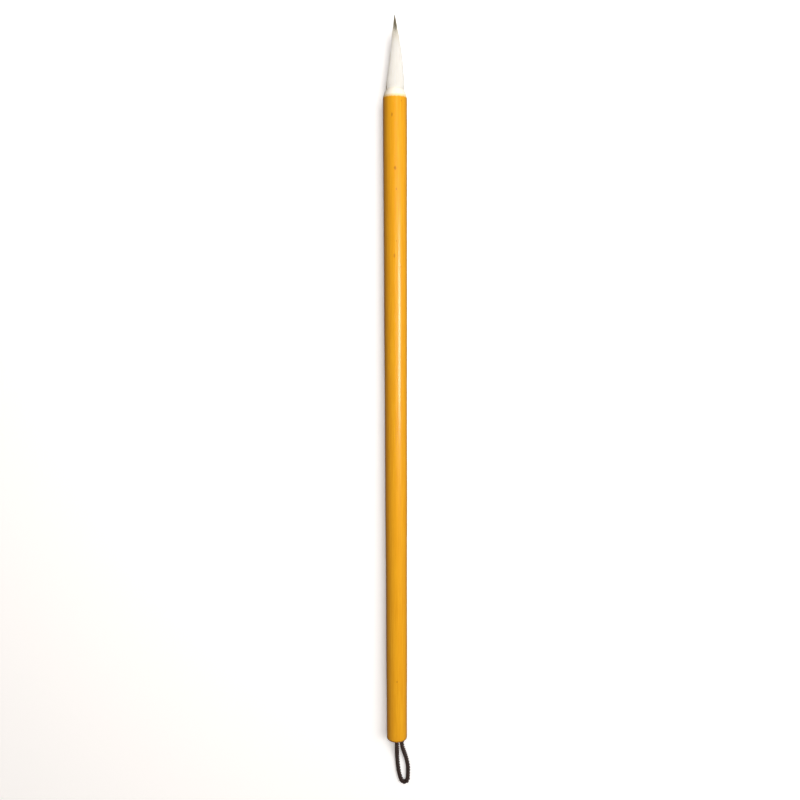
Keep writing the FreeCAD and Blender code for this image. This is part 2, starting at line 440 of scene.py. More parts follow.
def sweep(graph, curve, section, thickness):
    """A closed tube: the section is carried along the curve, at the thickness it has there."""
    inputs = {"Curve": curve, "Profile Curve": section, "Scale": thickness, "Fill Caps": True}
    return graph.add("GeometryNodeCurveToMesh", inputs).outputs[0]


def close_tree(graph, geometry, material):
    """Every tree ends the same way: real geometry, smooth, with its material."""
    real = graph.add("GeometryNodeRealizeInstances", {"Geometry": geometry})
    smooth = graph.add("GeometryNodeSetShadeSmooth", {"Geometry": real.outputs[0]})
    inputs = {"Geometry": smooth.outputs[0], "Material": material}
    dressed = graph.add("GeometryNodeSetMaterial", inputs)
    graph.add("NodeGroupOutput", {"Geometry": dressed.outputs[0]})


def grow(name, tree, values, start=None):
    """Runs the tree on a start mesh, or on nothing, and shows the result as a plain mesh."""
    host = bpy.data.objects.new(name, start or bpy.data.meshes.new(name))
    bpy.context.scene.collection.objects.link(host)
    modifier = host.modifiers.new("grow", "NODES")
    modifier.node_group = tree
    for item in tree.interface.items_tree:
        if item.in_out == "INPUT" and item.name in values:
            modifier[item.identifier] = values[item.name]
    evaluated = host.evaluated_get(bpy.context.evaluated_depsgraph_get())
    mesh = bpy.data.meshes.new_from_object(evaluated)
    bpy.data.objects.remove(host)
    return show(name, mesh)


def face_outwards(mesh):
    """Turns a closed mesh the right way round, and says how many cubic mm it holds."""
    mesh.calc_loop_triangles()
    corners = corners_of(mesh)
    triangles = np.array([t.vertices[:] for t in mesh.loop_triangles])
    a, b, c = (corners[triangles[:, k]] for k in range(3))
    volume = float(np.einsum("ij,ij->i", a, np.cross(b, c)).sum() / 6)
    if volume < 0:
        mesh.flip_normals()
    return abs(volume) / MM**3


print("ready to grow")

# %% [markdown]
# ## Turned shapes
# A cane is round, so its shape follows a rule: one outline, turned about the axis. Spin in
# edit mode would do it, and so would a Screw modifier. A tree has the advantage that the
# turned surface can be disturbed while it is made. Bamboo is never quite round: it has low
# waves round and along it that catch the light, and `Waviness` says how high they are.
# %% A tree that turns an outline into a closed shape
MERGE_WITHIN = 0.001 * MM
WAVES_ALONG = 60.0  # how much faster the waves change along the axis, in a metre, than round it


def turning_tree():
    graph, given = new_tree(
        "turned_outline",
        Int="Stations, Segments",
        Float="Axis Height, Waviness, Skin Radius",
        Material="Material",
    )
    across = graph.plus(given["Segments"], 1)
    sheet = graph.add(
        "GeometryNodeMeshGrid", {"Vertices X": given["Stations"], "Vertices Y": across}
    ).outputs[0]
    index = graph.add("GeometryNodeInputIndex").outputs[0]
    station = graph.math("FLOOR", graph.math("DIVIDE", graph.plus(index, 0.5), across))
    segment = graph.minus(index, graph.times(station, across))
    angle = graph.times(graph.math("DIVIDE", segment, given["Segments"]), 2 * math.pi)
    place = graph.add("GeometryNodeInputPosition").outputs[0]
    outline = graph.add(
        "GeometryNodeSampleIndex",
        {"Geometry": given["Geometry"], "Value": place, "Index": station},
        data_type="FLOAT_VECTOR",
        domain="POINT",
    ).outputs[0]
    radius, along, _ = graph.split(outline)
    cosine, sine = graph.math("COSINE", angle), graph.math("SINE", angle)
    where = graph.join(cosine, graph.times(along, WAVES_ALONG), sine)
    waves = graph.minus(noise(graph, where, 1.3, 2.0), 0.5)
    almost_skin = graph.times(given["Skin Radius"], 0.94)
    skin = graph.step(radius, almost_skin, given["Skin Radius"])
    lifted = graph.times(waves, skin, given["Waviness"])
    radius = graph.plus(radius, lifted)
    height = graph.plus(given["Axis Height"], graph.times(radius, cosine))
    point = graph.join(graph.times(radius, sine), along, height)
    turned = graph.move(sheet, point)
    doubled = {"Geometry": turned, "Distance": MERGE_WITHIN}
    closed = graph.add("GeometryNodeMergeByDistance", doubled).outputs[0]
    close_tree(graph, closed, given["Material"])
    return graph.tree


def outline_mesh(points):
    """An outline as a chain of vertices: x is the distance from the axis, y the place along it."""
    mesh = bpy.data.meshes.new("outline")
    mesh.from_pydata([(radius, y, 0) for radius, y in points], [], [])
    return mesh


turned_outline = turning_tree()
print("turned_outline:", len(turned_outline.nodes), "nodes")


def turn(name, points, segments, material, waviness=0.0, skin=1.0, crease=40):
    values = {
        "Stations": len(points),
        "Segments": segments,
        "Axis Height": axis_z,
        "Waviness": waviness,
        "Skin Radius": skin,
        "Material": material,
    }
    piece = grow(name, turned_outline, values, outline_mesh(points))
    volume = face_outwards(piece.data)
    piece.data.set_sharp_from_angle(angle=math.radians(crease))
    print(f"{name}: {len(piece.data.polygons)} faces, {volume:.2f} mm3")
    return piece


# %% [markdown]
# ## The skin of the cane
# Bamboo has a hard, shiny skin over straight fibres. This one is stained orange-yellow under
# a clear glaze. Fine streaks run lengthwise, broad patches are a little riper, and small brown
# flecks sit in it. At the head the skin has been cut away to round the shoulder, so pale, dull
# wood shows there. The cut face of the tail is browner, and painted shade darkens its rim. All of
# it is one material on Object coordinates, because cuts don't follow the mesh.
# %% Stain and glaze the bamboo
# place in metres, width and length in mm, strength
CANE_FLECKS = [
    ((-0.0008, 0.0712, 0.0066), 0.30, 1.00, 0.85),
    ((0.0000, 0.0566, 0.0067), 0.55, 0.90, 0.85),
    ((0.0017, 0.0751, 0.0062), 0.24, 0.50, 0.60),
    ((0.0003, 0.0508, 0.0066), 0.26, 0.70, 0.55),
    ((-0.0003, 0.0326, 0.0065), 0.42, 1.00, 0.55),
    ((0.0003, 0.0366, 0.0065), 0.26, 0.45, 0.65),
    ((0.0015, 0.0297, 0.0062), 0.24, 0.50, 0.55),
    ((0.0001, -0.0840, 0.0062), 0.30, 0.40, 0.60),
]


def glazed_bamboo():
    material, graph, shader = finish_named(
        "glazed_bamboo", Coat_Roughness=0.19, Coat_IOR=1.5, Specular_IOR_Level=0.25
    )
    centre = (0, 0, axis_z)
    plain = in_millimetres(graph, centre)
    x, y, z = graph.split(plain)
    fine, broad, middling = (5.5, 0.10, 5.5), (0.5, 0.045, 0.5), (1.6, 0.55, 1.6)
    streak = noise(graph, in_millimetres(graph, centre, fine), 1.0, 4.0, 0.6)
    patch = noise(graph, in_millimetres(graph, centre, broad), 1.0, 3.0)
    mottle = noise(graph, in_millimetres(graph, centre, middling), 1.0, 3.0, 0.6)
    deep, sunny, ripe = rgb(230, 158, 22), rgb(244, 178, 34), rgb(238, 164, 24)
    skin = graph.mix(graph.step(streak, 0.32, 0.72), deep, sunny)
    skin = graph.mix(graph.step(patch, 0.40, 0.70, 0.0, 0.5), skin, ripe)
    skin = graph.mix(graph.step(mottle, 0.58, 0.82, 0.0, 0.45), skin, deep)

    # flecks: a few larger ones listed, and many small ones wherever chance puts them
    sown = in_millimetres(graph, centre, (0.42, 0.085, 0.42))
    cells = graph.add("ShaderNodeTexVoronoi", {"Vector": sown, "Scale": 1.0, "Randomness": 1.0})
    chosen = graph.step(graph.split(cells.outputs["Color"])[0], 0.80, 0.86)
    spot = graph.step(cells.outputs["Distance"], 0.04, 0.12, 1.0, 0.0)
    spot = graph.times(spot, chosen, 0.4)
    for place, width, length, strength in CANE_FLECKS:
        near = in_millimetres(graph, place, (1 / width, 1 / length, 1 / width))
        reach = graph.length(near)
        reach = graph.plus(reach, graph.times(mottle, 0.9))
        spot = graph.math("MAXIMUM", spot, graph.step(reach, 0.55, 1.35, strength, 0.0))
    skin = graph.mix(spot, skin, rgb(176, 98, 22))

    # bare wood at the head: peach beside the glaze, nearly white at the mouth. The cut's edge
    # wobbles, and curves back at the sides
    shoulder = 1000 * mouth_y - 2.5
    curved, wobble = graph.times(x, x, 0.055), graph.times(noise(graph, plain, 1.6, 2.0), 0.4)
    edge = graph.minus(graph.plus(y, wobble), curved)
    peach, pale = rgb(250, 222, 160), rgb(255, 250, 236)
    wood = graph.mix(graph.step(edge, shoulder - 0.1, shoulder + 0.7), peach, pale)
    grain = noise(graph, in_millimetres(graph, centre, (9.0, 0.35, 9.0)), 1.0, 3.0, 0.65)
    wood = graph.mix(graph.step(grain, 0.48, 0.72, 0.0, 0.30), wood, rgb(226, 198, 150))

    # at the tail the cut face is browner, and painted shade darkens the glaze's edge and the outer
    # ring of the cut face
    rim = 1000 * tail_y
    wood = graph.mix(graph.step(y, rim + 2.0, rim + 1.0, 0.0, 1.0), wood, rgb(206, 160, 96))
    # painted shade along the last half millimetre of the glaze
    skin = graph.mix(graph.step(y, rim + 0.26, rim + 0.62, 0.80, 0.0), skin, rgb(112, 60, 18))
    # painted shade on the outer ring of the cut face
    rim_shade = graph.step(y, rim + 0.10, rim + 0.34, 1.0, 0.0)
    outer_ring = graph.step(graph.length(graph.join(x, 0.0, z)), 2.30, 2.45)
    wood = graph.mix(graph.times(rim_shade, outer_ring), wood, rgb(104, 56, 18))

    # the cuts are dull, with hardly any glaze on them
    head_cut = graph.step(edge, shoulder - 0.38, shoulder - 0.10)
    tail_cut = graph.step(y, rim + 0.14, rim + 0.36, 1.0, 0.0)
    cut = graph.math("MAXIMUM", head_cut, tail_cut)
    graph.link(graph.mix(cut, skin, wood), shader, "Base Color")
    dullness = graph.step(cut, 0.0, 1.0, 0.34, 0.62)
    graph.link(dullness, shader, "Roughness")
    graph.link(graph.step(cut, 0.0, 1.0, 1.0, 0.12), shader, "Coat Weight")
    emboss(graph, shader, graph.plus(streak, graph.times(mottle, 0.5)), 0.006 * MM)
    return material


bamboo = glazed_bamboo()
print("finish:", bamboo.name)

# %% [markdown]
# ## The cane
# The outline goes once round the wall: out over the tail's rounded rim, along the skin with
# its slow swelling, over the shoulder to the mouth, down the socket that holds the hair,
# through the thin hollow of the cane, and out by the bore at the tail.
# %% Turn the cane
HEAD_RADIUS, TAIL_RADIUS = 3.35 * MM, 2.80 * MM
SOCKET_RADIUS, SOCKET_DEPTH = 2.30 * MM, 12.4 * MM
LUMEN_RADIUS = 1.10 * MM
BORE_RADIUS, BORE_DEPTH = 1.95 * MM, 10.0 * MM
SHOULDER_LENGTH, SHOULDER_DROP = 2.50 * MM, 0.84 * MM
TAIL_EDGE = 0.30 * MM
# distance from the tail and radius, in metres
CANE_SWELL = [
    (0.000, 0.00280), (0.008, 0.00280), (0.020, 0.00290), (0.044, 0.00293), (0.066, 0.00305),
    (0.092, 0.00308), (0.117, 0.00320), (0.142, 0.00324), (0.165, 0.00335), (0.180, 0.00335),
]
CANE_LENGTH, STATION_GAP, SMOOTHING = 0.180, 0.001, 6


def cane_outline():
    """The wall's outline as (radius, place along the cane), starting inside the tail's bore."""
    far, near = zip(*CANE_SWELL)
    fine = np.arange(0.0, CANE_LENGTH, STATION_GAP)
    padded = np.pad(np.interp(fine, far, near), SMOOTHING, mode="edge")
    window = 2 * SMOOTHING + 1
    swell = np.convolve(padded, np.full(window, 1 / window), mode="valid")
    points = [(BORE_RADIUS, tail_y), (TAIL_RADIUS - TAIL_EDGE, tail_y)]
    for step in range(1, 7):
        angle = math.radians(15 * step)
        radius = TAIL_RADIUS - TAIL_EDGE + TAIL_EDGE * math.sin(angle)
        points.append((radius, tail_y + TAIL_EDGE - TAIL_EDGE * math.cos(angle)))
    shoulder_y = mouth_y - SHOULDER_LENGTH
    first, last = 1.2 * MM, shoulder_y - tail_y - 0.8 * MM
    points += [(r, tail_y + d) for d, r in zip(fine, swell) if first < d < last]
    curve = (SHOULDER_LENGTH**2 + SHOULDER_DROP**2) / (2 * SHOULDER_DROP)
    for step in range(13):
        ahead = SHOULDER_LENGTH * step / 12
        radius = HEAD_RADIUS - curve + math.sqrt(curve**2 - ahead**2)
        points.append((radius, shoulder_y + ahead))
    rim = points[-1][0]
    points[-1] = (rim, mouth_y - 0.04 * MM)
    points += [(rim - 0.04 * MM, mouth_y), (SOCKET_RADIUS, mouth_y)]
    points += [(SOCKET_RADIUS, mouth_y - SOCKET_DEPTH), (LUMEN_RADIUS, mouth_y - SOCKET_DEPTH)]
    points += [(LUMEN_RADIUS, tail_y + BORE_DEPTH), (BORE_RADIUS, tail_y + BORE_DEPTH)]
    return points + [(BORE_RADIUS, tail_y)]


cane = turn("cane", cane_outline(), 96, bamboo, waviness=0.018 * MM, skin=2.6 * MM)
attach(cane, "handle")
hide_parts("bamboo_handle")

# %% [markdown]
# ## One hair, many times
# The tuft is thousands of goat hairs with one outline between them; nearly three thousand are
# enough here. A solid with a hair texture has a hard edge, and particles don't survive an export.
# So a tree makes one short line, sets it down once for each hair, and then moves every point
# of every line by the rule of the tuft: a hair keeps its share of the tuft's radius all the
# way, so all of them run together to the point. Hairs end at different lengths, the tips
# thin out, and a little wander keeps them from looking combed by a machine.
# %% A tree that grows a bundle of hair
GOLDEN_ANGLE = math.pi * (3 - math.sqrt(5))
TUFT_BASE_RADIUS, TUFT_FULLNESS = 2.62 * MM, 0.78
OPENS_BEFORE_MOUTH = 0.4 * MM


def hair_tree():
    graph, given = new_tree(
        "bundle_of_hair",
        Int="Hairs, Rings, Seed",
        Float="Start, Mouth, Tip, Axis Height, Base Radius, Fullness, Bound Radius, Opening, "
        "Inner Share, Outer Share, Facing, Fan, Shortest Gap, Longest Gap, Stagger, Thickness, "
        "Tip Thickness, Wander",
        Material="Material",
    )
    line = graph.add("GeometryNodeCurvePrimitiveLine").outputs[0]
    rings = {"Curve": line, "Count": given["Rings"]}
    line = graph.add("GeometryNodeResampleCurve", rings).outputs[0]
    roots = graph.add("GeometryNodePoints", {"Count": given["Hairs"]}).outputs[0]
    sown = {"Points": roots, "Instance": line}
    hairs = graph.add("GeometryNodeInstanceOnPoints", sown).outputs[0]
    hairs = graph.add("GeometryNodeRealizeInstances", {"Geometry": hairs}).outputs[0]

    # which hair a point belongs to, and how far along it the point is
    index = graph.add("GeometryNodeInputIndex").outputs[0]
    hair = graph.math("FLOOR", graph.math("DIVIDE", graph.plus(index, 0.5), given["Rings"]))
    ring = graph.minus(index, graph.times(hair, given["Rings"]))
    along = graph.math("DIVIDE", ring, graph.minus(given["Rings"], 1))

    def chance(number, low=0.0, high=1.0):
        """A random value that is the same for all the points of a hair."""
        inputs = {2: low, 3: high, "ID": hair, "Seed": graph.plus(given["Seed"], number)}
        return graph.add("FunctionNodeRandomValue", inputs).outputs[1]

    # its place in the bundle: evenly spread over a ring, as seeds are in a sunflower
    share = graph.math("DIVIDE", graph.plus(hair, chance(1)), given["Hairs"])
    inner, outer = (graph.math("POWER", given[k], 2) for k in ("Inner Share", "Outer Share"))
    share = graph.plus(inner, graph.times(share, graph.minus(outer, inner)))
    share = graph.math("SQRT", share)
    turns = graph.times(hair, GOLDEN_ANGLE / (2 * math.pi))
    turns = graph.plus(turns, chance(2, -0.005, 0.005))
    fan = graph.minus(graph.math("FRACT", turns), 0.5)
    angle = graph.plus(given["Facing"], graph.times(fan, given["Fan"]))

    # where it ends, and where this point is along the brush
    spread = graph.minus(given["Longest Gap"], given["Shortest Gap"])
    gap = graph.times(graph.math("POWER", chance(3), given["Stagger"]), spread)
    gap = graph.plus(given["Shortest Gap"], gap)
    end = graph.minus(given["Tip"], gap)
    reach = graph.minus(end, given["Start"])
    place = graph.plus(given["Start"], graph.times(along, reach))

    # the tuft's outline there: bound inside the mouth, a power curve outside it
    length = graph.minus(given["Tip"], given["Mouth"])
    from_tip = graph.math("MAXIMUM", graph.minus(given["Tip"], place), 0.0)
    outline = graph.math("POWER", graph.math("DIVIDE", from_tip, length), given["Fullness"])
    outline = graph.times(outline, given["Base Radius"])
    beyond = graph.minus(place, given["Mouth"])
    opened = graph.step(beyond, -OPENS_BEFORE_MOUTH, given["Opening"])
    free = graph.times(outline, opened)
    bound = graph.times(given["Bound Radius"], graph.minus(1.0, opened))
    radius = graph.times(share, graph.plus(free, bound))

    # wander: a slow random walk across, that grows towards the free end
    apart, slow = 7.31, 1.8
    walk = graph.join(graph.times(hair, apart), graph.times(along, slow), given["Seed"])
    loose = graph.add("ShaderNodeTexNoise", {"Vector": walk, "Scale": 1.0, "Detail": 1.0})
    drift_x, drift_y, _ = graph.split(loose.outputs["Color"])
    loosened = graph.times(given["Wander"], graph.times(along, opened))
    shift_out = graph.times(graph.minus(drift_x, 0.55), loosened)
    shift_round = graph.times(graph.minus(drift_y, 0.5), loosened)
    radius = graph.math("MAXIMUM", graph.plus(radius, shift_out), 0.0)
    cosine, sine = graph.math("COSINE", angle), graph.math("SINE", angle)
    x = graph.minus(graph.times(radius, sine), graph.times(shift_round, cosine))
    z = graph.plus(graph.times(radius, cosine), graph.times(shift_round, sine))
    point = graph.join(x, place, graph.plus(z, given["Axis Height"]))
    hairs = graph.move(hairs, point)

    # what the material reads: a tint for each hair, and how near its own tip a point is
    for label, value in (("hair_tint", chance(4)), ("hair_along", along)):
        inputs = {"Geometry": hairs, "Name": label, "Value": value}
        hairs = graph.add("GeometryNodeStoreNamedAttribute", inputs, data_type="FLOAT").outputs[0]
    triangle = {"Resolution": 3, "Radius": 0.5}
    section = graph.add("GeometryNodeCurvePrimitiveCircle", triangle).outputs[0]
    thinning = graph.step(along, 0.35, 1.0)
    loss = graph.minus(given["Thickness"], given["Tip Thickness"])
    thickness = graph.minus(given["Thickness"], graph.times(thinning, loss))
    thickness = graph.times(thickness, chance(5, 0.8, 1.15))
    close_tree(graph, sweep(graph, hairs, section, thickness), given["Material"])
    return graph.tree


bundle_of_hair = hair_tree()
BOUND_RADIUS = 2.18 * MM
print("bundle_of_hair:", len(bundle_of_hair.nodes), "nodes")


def grow_hair(name, **wanted):
    """A bundle with the tuft's own places and outline, and whatever else is wanted."""
    values = {
        "Start": mouth_y - 1.2 * MM,
        "Mouth": mouth_y,
        "Tip": tip_y,
        "Axis Height": axis_z,
        "Base Radius": TUFT_BASE_RADIUS,
        "Fullness": TUFT_FULLNESS,
        "Bound Radius": BOUND_RADIUS,
        "Opening": 1.6 * MM,
        "Facing": 0.0,
        "Fan": 2 * math.pi,
        "Stagger": 1.0,
    }
    values.update({key.replace("_", " "): value for key, value in wanted.items()})
    piece = grow(name, bundle_of_hair, values)
    print(f"{name}: {values['Hairs']} hairs, {len(piece.data.polygons)} faces")
    return piece


# %% [markdown]
# ## Hair colours
# Goat hair is near white, a little creamier at its ends, and no two hairs are quite the same.
# The core is a stiffer, olive-brown hair, which looks darker where the hairs shade each other.
# The colour of each hair comes from the tint that the tree stored on it, so it stays with the
# hair, and a slow pattern over the whole tuft groups the hairs into locks.
# %% Colour the hair
def hair_finish(name, pale, deep, tip_colour, roughness, sheen):
    material, graph, shader = finish_named(
        name, Roughness=roughness, Sheen_Weight=sheen, Sheen_Roughness=0.4, Specular_IOR_Level=0.4
    )
    tint = graph.add("ShaderNodeAttribute", attribute_name="hair_tint").outputs["Fac"]
    along = graph.add("ShaderNodeAttribute", attribute_name="hair_along").outputs["Fac"]
    patchy = noise(graph, in_millimetres(graph, (0, 0, 0), (2.0, 0.35, 2.0)), 1.0, 3.0)
    blend = graph.times(graph.plus(tint, patchy), 0.5)
    colour = graph.mix(graph.step(blend, 0.2, 0.8), deep, pale)
    colour = graph.mix(graph.step(along, 0.80, 1.0, 0.0, 0.8), colour, tip_colour)
    graph.link(colour, shader, "Base Color")
    scales = noise(graph, in_millimetres(graph, (0, 0, 0), (9.0, 3.0, 9.0)), 1.0, 2.0)
    emboss(graph, shader, scales, 0.004 * MM)
    return material


goat_hair = hair_finish(
    "goat_hair", rgb(255, 255, 252), rgb(252, 249, 240), rgb(252, 246, 230),
    roughness=0.5, sheen=0.5,
)
core_bristle = hair_finish(
    "core_bristle", rgb(172, 164, 134), rgb(122, 115, 90), rgb(134, 126, 104),
    roughness=0.42, sheen=0.15,
)
print("finishes:", goat_hair.name, core_bristle.name)

# %% [markdown]
# ## Cover, lining and core
# A good brush is layered. A stiff dark core makes the point, a shorter lining gives the
# belly that holds ink, and a thin cover of long soft hair closes round them. The lining is
# made as one closed mass, which keeps daylight from showing through the cover and costs far
# less than a solid bundle of hairs. A few darker hairs lie underneath, and a few more along the
# left and right sides draw painted shade lines at the tuft's edges.
# %% Grow the cover, the core and the dark hairs
cover = grow_hair(
    "cover_hairs", Hairs=2400, Rings=13, Seed=11, Inner_Share=0.86, Outer_Share=1.0,
    Shortest_Gap=2.7 * MM, Longest_Gap=7.2 * MM, Stagger=0.3, Thickness=0.105 * MM,
    Tip_Thickness=0.02 * MM, Wander=0.16 * MM, Material=goat_hair,
)
core = grow_hair(
    "core_hairs", Hairs=520, Rings=10, Seed=23, Inner_Share=0.0, Outer_Share=0.80,
    Shortest_Gap=0.0, Longest_Gap=2.6 * MM, Stagger=0.55, Thickness=0.11 * MM,
    Tip_Thickness=0.02 * MM, Wander=0.10 * MM, Start=tip_y - 12.0 * MM, Material=core_bristle,
)
# the left and right rows set dark hairs as painted shade lines along the tuft's edges
# name, hairs, seed, facing and fan in degrees, shortest and longest gap in mm
DARK_HAIRS = [
    ("left_edge_shade_hairs", 9, 41, -95, 22, 13.0, 16.5),
    ("right_edge_shade_hairs", 9, 43, 92, 16, 5.5, 9.0),
    ("under_dark_hairs", 12, 47, 180, 140, 8.0, 16.0),
]
side_hairs = [
    grow_hair(
        name, Hairs=hairs, Rings=12, Seed=seed, Inner_Share=0.985, Outer_Share=1.025,
        Facing=math.radians(facing), Fan=math.radians(fan), Shortest_Gap=shortest * MM,
        Longest_Gap=longest * MM, Thickness=0.075 * MM, Tip_Thickness=0.03 * MM,
        Wander=0.05 * MM, Material=core_bristle,
    )
    for name, hairs, seed, facing, fan, shortest, longest in DARK_HAIRS
]

# %% Pack the lining and close the tuft
LINING_NECK, LINING_SHARE = 2.12 * MM, 0.90  # its radius in the mouth; its share of the tuft
LINING_GAP, TUFT_BOW, TIP_SHIFT = 6.2 * MM, 0.28 * MM, -0.06 * MM


def lining_outline():
    """The hair mass from inside the socket almost to where the lining ends."""
    base_y = mouth_y - 1.4 * MM
    points = [(0.0, base_y), (2.0 * MM, base_y), (LINING_NECK, mouth_y - 1.0 * MM)]
    for from_tip in np.linspace(tuft_length + 0.2 * MM, 6.8 * MM, 24):
        free = LINING_SHARE * TUFT_BASE_RADIUS * (from_tip / tuft_length) ** TUFT_FULLNESS
        opened = (tuft_length - from_tip + OPENS_BEFORE_MOUTH) / (2.0 * MM)
        radius = LINING_NECK + (free - LINING_NECK) * min(1.0, max(0.0, opened))
        points.append((radius, tip_y - from_tip))
    points[-1] = (0.72 * points[-1][0], points[-1][1])
    return points + [(0.0, tip_y - LINING_GAP)]


lining = turn("lining_hairs", lining_outline(), 48, goat_hair, waviness=0.05 * MM, skin=0.3 * MM)


def lean(mesh, bow, tip_shift):
    """The tuft isn't quite straight: its belly bows to one side and its point comes back."""
    corners = corners_of(mesh)
    along = np.clip((corners[:, 1] - mouth_y) / tuft_length, 0.0, 1.0)
    corners[:, 0] += bow * np.sin(math.pi * along) ** 1.2 + tip_shift * along**2
    move_corners(mesh, corners)


for piece, node, slot in (
    (cover, "cover_hair", "cover_white"),
    (core, "core_hair", "core_dark"),
    (lining, "lining_hair", "lining_cream"),
    *((few, "core_hair", "core_dark") for few in side_hairs),
):
    lean(piece.data, TUFT_BOW, TIP_SHIFT)
    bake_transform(piece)
    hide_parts(node)

# %% [markdown]
# ## Inside the socket
# The hair's root is bound with thread while it is wet, dipped in rosin, and glued into the
# socket. None of it shows on a finished brush, but a model that can be taken apart has it.
# The bound root is straight hair round a packed rod, and the binding is five turns of
# two-ply thread: a spiral, swept with a two-lobed section that turns as it goes.
# %% Bind the root
bound_hair = hair_finish(
    "bound_hair", rgb(226, 212, 180), rgb(196, 178, 142), rgb(176, 150, 108),
    roughness=0.6, sheen=0.1,
)
# radius, and distance from the root's lower end, in mm; the waist is where the thread goes
ROD_OUTLINE = [
    (0.0, 0.0), (1.78, 0.0), (1.90, 0.2), (1.90, 0.9), (1.72, 1.2), (1.72, 2.6), (1.90, 2.9)
]
rod_top = mouth_y - 1.5 * MM
root_rod = turn(
    "root_rod",
    [(radius * MM, root_y + up * MM) for radius, up in ROD_OUTLINE]
    + [(1.92 * MM, rod_top), (0.0, rod_top)],
    48, bound_hair, waviness=0.03 * MM, skin=1.0 * MM,
)

# %% Wind the thread
def winding_tree():
    graph, given = new_tree(
        "thread_windings",
        Float="Turns, Coil Radius, Band Width, Thread Radius, Ply Turns, Start, Axis Height",
        Material="Material",
    )
    coil = graph.add(
        "GeometryNodeCurveSpiral",
        {
            "Resolution": 56,
            "Rotations": given["Turns"],
            "Start Radius": given["Coil Radius"],
            "End Radius": given["Coil Radius"],
            "Height": given["Band Width"],
        },
    ).outputs[0]
    x, y, z = graph.split(graph.add("GeometryNodeInputPosition").outputs[0])
    place = graph.join(x, graph.plus(z, given["Start"]), graph.plus(y, given["Axis Height"]))
    coil = graph.move(coil, place)
    along = graph.add("GeometryNodeSplineParameter").outputs["Factor"]
    twist = graph.times(along, given["Ply Turns"], 2 * math.pi)
    coil = graph.add("GeometryNodeSetCurveTilt", {"Curve": coil, "Tilt": twist}).outputs[0]
    disc = {"Resolution": 10, "Radius": 1.0}
    section = graph.add("GeometryNodeCurvePrimitiveCircle", disc).outputs[0]
    cx, cy, _ = graph.split(graph.add("GeometryNodeInputPosition").outputs[0])
    lobes = graph.plus(0.72, graph.times(cx, cx, 0.28))
    lobed = graph.join(graph.times(cx, lobes), graph.times(cy, lobes), 0.0)
    section = graph.move(section, lobed)
    thread = sweep(graph, coil, section, given["Thread Radius"])
    close_tree(graph, thread, given["Material"])
    return graph.tree


def cotton_thread():
    material, graph, shader = finish_named(
        "cotton_thread", Roughness=0.8, Sheen_Weight=0.3, Specular_IOR_Level=0.25
    )
    fluff = noise(graph, in_millimetres(graph), 14.0, 4.0, 0.7)
    colour = graph.mix(graph.step(fluff, 0.3, 0.7), rgb(196, 182, 150), rgb(232, 222, 198))
    graph.link(colour, shader, "Base Color")
    emboss(graph, shader, fluff, 0.02 * MM)
    return material


thread_low, thread_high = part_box("root_thread")
THREAD_RADIUS = 0.155 * MM
windings = grow(
    "root_windings",
    winding_tree(),
    {
        "Turns": 5.0,
        "Coil Radius": thread_high.x - THREAD_RADIUS,
        "Band Width": thread_high.y - thread_low.y - 2 * THREAD_RADIUS,
        "Thread Radius": THREAD_RADIUS,
        "Ply Turns": 60.0,
        "Start": thread_low.y + THREAD_RADIUS,
        "Axis Height": axis_z,
        "Material": cotton_thread(),
    },
)
face_outwards(windings.data)
print("windings:", len(windings.data.polygons), "faces")

# %% [markdown]
# ## Root hairs and the clear parts
# The root's skin is the same hair as the tuft, pulled straight. Rosin and glue have set with
# a surface that is smooth but not flat, and they are cloudy: their colour changes slowly from
# place to place.
# %% Dress the rest of the socket and the tail
ROOT_RADIUS = 2.06 * MM
root_hairs = grow_hair(
    "root_hairs", Hairs=700, Rings=20, Seed=31, Inner_Share=0.90, Outer_Share=1.0,
    Start=root_y + 0.05 * MM, Mouth=mouth_y + 30 * MM, Tip=mouth_y - 1.0 * MM,
    Bound_Radius=ROOT_RADIUS, Shortest_Gap=0.0, Longest_Gap=0.3 * MM, Thickness=0.10 * MM,
    Tip_Thickness=0.09 * MM, Wander=0.0, Material=bound_hair,
)


def pinch(mesh, centre, half_width, depth):
    """The thread pulls the root in where it is wound."""
    slope = 0.35 * MM
    corners = corners_of(mesh)
    near = np.clip((half_width - np.abs(corners[:, 1] - centre)) / slope, 0.0, 1.0)
    factor = 1.0 - near * depth / ROOT_RADIUS
    corners[:, 0] *= factor
    corners[:, 2] = axis_z + (corners[:, 2] - axis_z) * factor
    move_corners(mesh, corners)


pinch(root_hairs.data, (thread_low.y + thread_high.y) / 2, 1.0 * MM, 0.3 * MM)


def set_resin(name, pale, deep, roughness, depth):
    material, graph, shader = finish_named(
        name, Coat_Weight=0.5, Coat_Roughness=0.2, Roughness=roughness
    )
    cloud = noise(graph, in_millimetres(graph), 1.4, 4.0, 0.6)
    colour = graph.mix(graph.step(cloud, 0.3, 0.7), deep, pale)
    graph.link(colour, shader, "Base Color")
    emboss(graph, shader, noise(graph, in_millimetres(graph), 2.5, 2.0), depth)
    return material


def split_cane():
    """Unglazed cane: straight fibres, with the dark dots of their ends where it is cut across."""
    material, graph, shader = finish_named("split_cane", Roughness=0.7, Specular_IOR_Level=0.3)
    fibre = noise(graph, in_millimetres(graph, (0, 0, 0), (7.0, 0.25, 7.0)), 1.0, 4.0, 0.6)
    bundles = in_millimetres(graph, (0, 0, 0), (3.4, 0.05, 3.4))
    inputs = {"Vector": bundles, "Scale": 1.0, "Randomness": 0.8}
    ends = graph.add("ShaderNodeTexVoronoi", inputs).outputs["Distance"]
    colour = graph.mix(graph.step(fibre, 0.3, 0.7), rgb(190, 158, 108), rgb(226, 200, 152))
    colour = graph.mix(graph.step(ends, 0.10, 0.26, 0.8, 0.0), colour, rgb(120, 84, 46))
    graph.link(colour, shader, "Base Color")
    emboss(graph, shader, fibre, 0.03 * MM)
    return material


